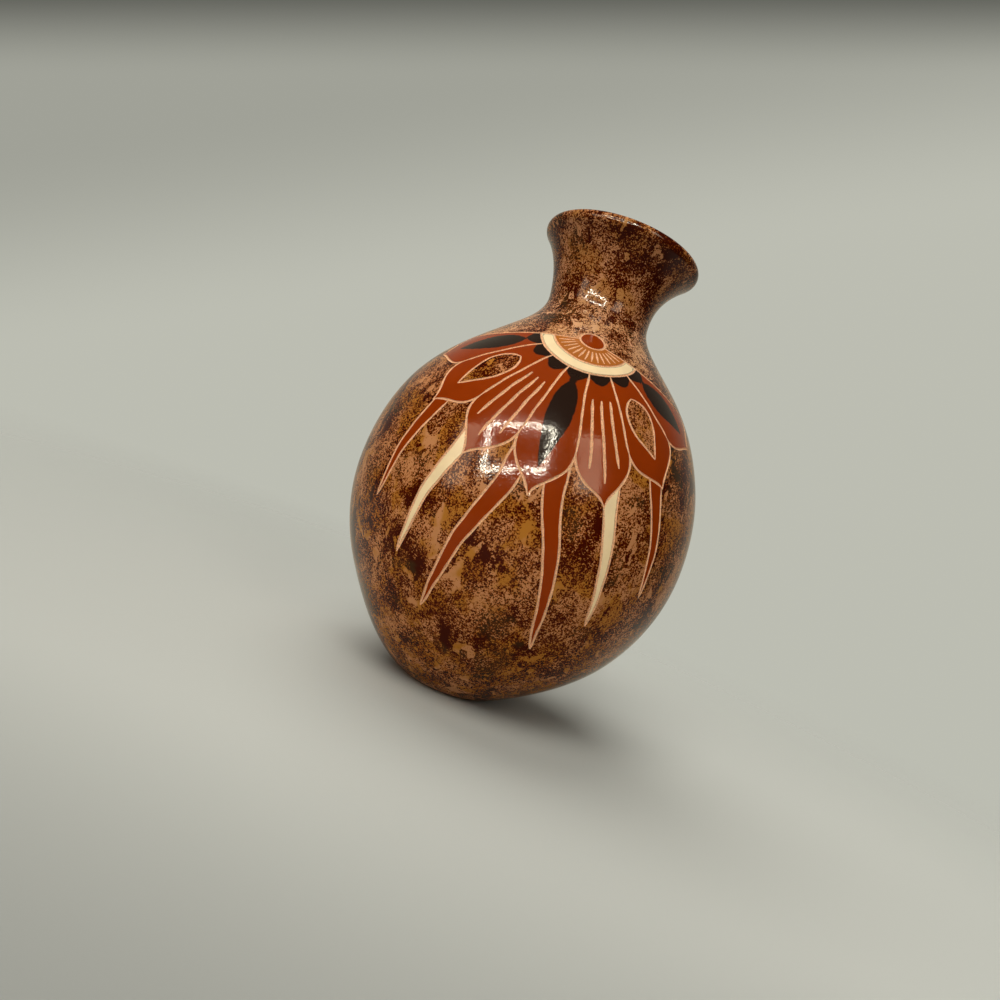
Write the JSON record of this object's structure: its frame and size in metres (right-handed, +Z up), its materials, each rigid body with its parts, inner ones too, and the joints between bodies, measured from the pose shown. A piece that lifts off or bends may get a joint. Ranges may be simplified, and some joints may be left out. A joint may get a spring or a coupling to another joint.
{
  "type": "vase",
  "caption": "Round-bellied earthenware bottle vase with a narrow neck, a flared round lip and a small flat foot.",
  "frame": {"origin": "centre of the flat underside, at table level", "axes": "+Z up along the pot's own axis, through the middle of the mouth; -Y is the front, where the carving is"},
  "size_m": [0.1396, 0.1396, 0.197],
  "materials": {
    "belly_slip": "burnished earthenware, sponged ochre and tan over oxblood slip, with carved slip-painted motifs",
    "neck_slip": "burnished earthenware, sponged ochre and tan over oxblood slip",
    "base_clay": "burnished slip over the side, worn bare clay underneath"
  },
  "bodies": {
    "root": {"foot": "base_clay", "lower_body": "belly_slip", "shoulder": "belly_slip", "neck": "neck_slip", "rim": "neck_slip"}
  },
  "joints": []
}
